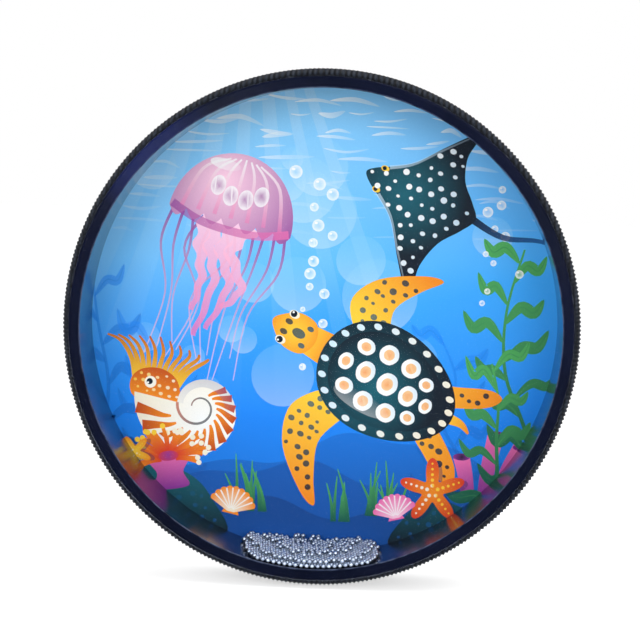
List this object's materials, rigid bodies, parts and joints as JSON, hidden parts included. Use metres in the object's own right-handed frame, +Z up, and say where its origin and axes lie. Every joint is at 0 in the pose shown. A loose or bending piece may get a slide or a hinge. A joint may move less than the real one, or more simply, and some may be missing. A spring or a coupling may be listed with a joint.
{
  "type": "ocean drum",
  "caption": "Shallow round hand drum with a clear front head, a sea picture on the rear head and loose steel balls that roll and wash between them to sound like surf.",
  "frame": {"origin": "middle of the drum, on its axis, halfway between the outer faces of the two heads", "axes": "+Y along the drum's axis from the clear head towards the picture, +Z up as the drum is held to be looked at, with the balls at the bottom; the clear head faces -Y"},
  "size_m": [0.254, 0.05, 0.254],
  "materials": {
    "navy_lacquer": "glossy dark navy lacquer",
    "clear_film": "clear polyester film",
    "white_film": "satin white polyester film",
    "printed_picture": "printed sea picture, satin",
    "black_foam": "closed-cell foam",
    "black_webbing": "coarse woven webbing",
    "tack_steel": "plain steel",
    "ball_steel": "polished steel balls"
  },
  "bodies": {
    "drum": {"shell": "navy_lacquer", "front_head": "clear_film", "rear_head": "white_film", "picture_sheet": "printed_picture", "foam_pad": "black_foam", "side_webbing": "black_webbing", "front_tacks": "tack_steel", "rear_tacks": "tack_steel"},
    "front_rolling_balls": {"rolling_balls_1": "ball_steel", "rolling_balls_2": "ball_steel", "rolling_balls_3": "ball_steel"},
    "front_washing_balls": {"washing_balls_1": "ball_steel", "washing_balls_2": "ball_steel", "washing_balls_3": "ball_steel"},
    "middle_rolling_balls": {"rolling_balls_4": "ball_steel", "rolling_balls_5": "ball_steel", "rolling_balls_6": "ball_steel"},
    "middle_washing_balls": {"washing_balls_4": "ball_steel", "washing_balls_5": "ball_steel", "washing_balls_6": "ball_steel"},
    "rear_rolling_balls": {"rolling_balls_7": "ball_steel", "rolling_balls_8": "ball_steel", "rolling_balls_9": "ball_steel"},
    "rear_washing_balls": {"washing_balls_7": "ball_steel", "washing_balls_8": "ball_steel", "washing_balls_9": "ball_steel"}
  },
  "joints": [
    {"name": "front_balls_roll", "type": "hinge", "parent": "drum", "child": "front_rolling_balls", "pos_m": [0, 0, 0], "axis": [0, 1, 0], "continuous": true},
    {"name": "front_balls_wash", "type": "slide", "parent": "front_rolling_balls", "child": "front_washing_balls", "axis": [0, 0, 1], "range_m": [0, 0.223]},
    {"name": "middle_balls_roll", "type": "hinge", "parent": "drum", "child": "middle_rolling_balls", "pos_m": [0, 0, 0], "axis": [0, 1, 0], "continuous": true},
    {"name": "middle_balls_wash", "type": "slide", "parent": "middle_rolling_balls", "child": "middle_washing_balls", "axis": [0, 0, 1], "range_m": [0, 0.221]},
    {"name": "rear_balls_roll", "type": "hinge", "parent": "drum", "child": "rear_rolling_balls", "pos_m": [0, 0, 0], "axis": [0, 1, 0], "continuous": true},
    {"name": "rear_balls_wash", "type": "slide", "parent": "rear_rolling_balls", "child": "rear_washing_balls", "axis": [0, 0, 1], "range_m": [0, 0.219]}
  ]
}
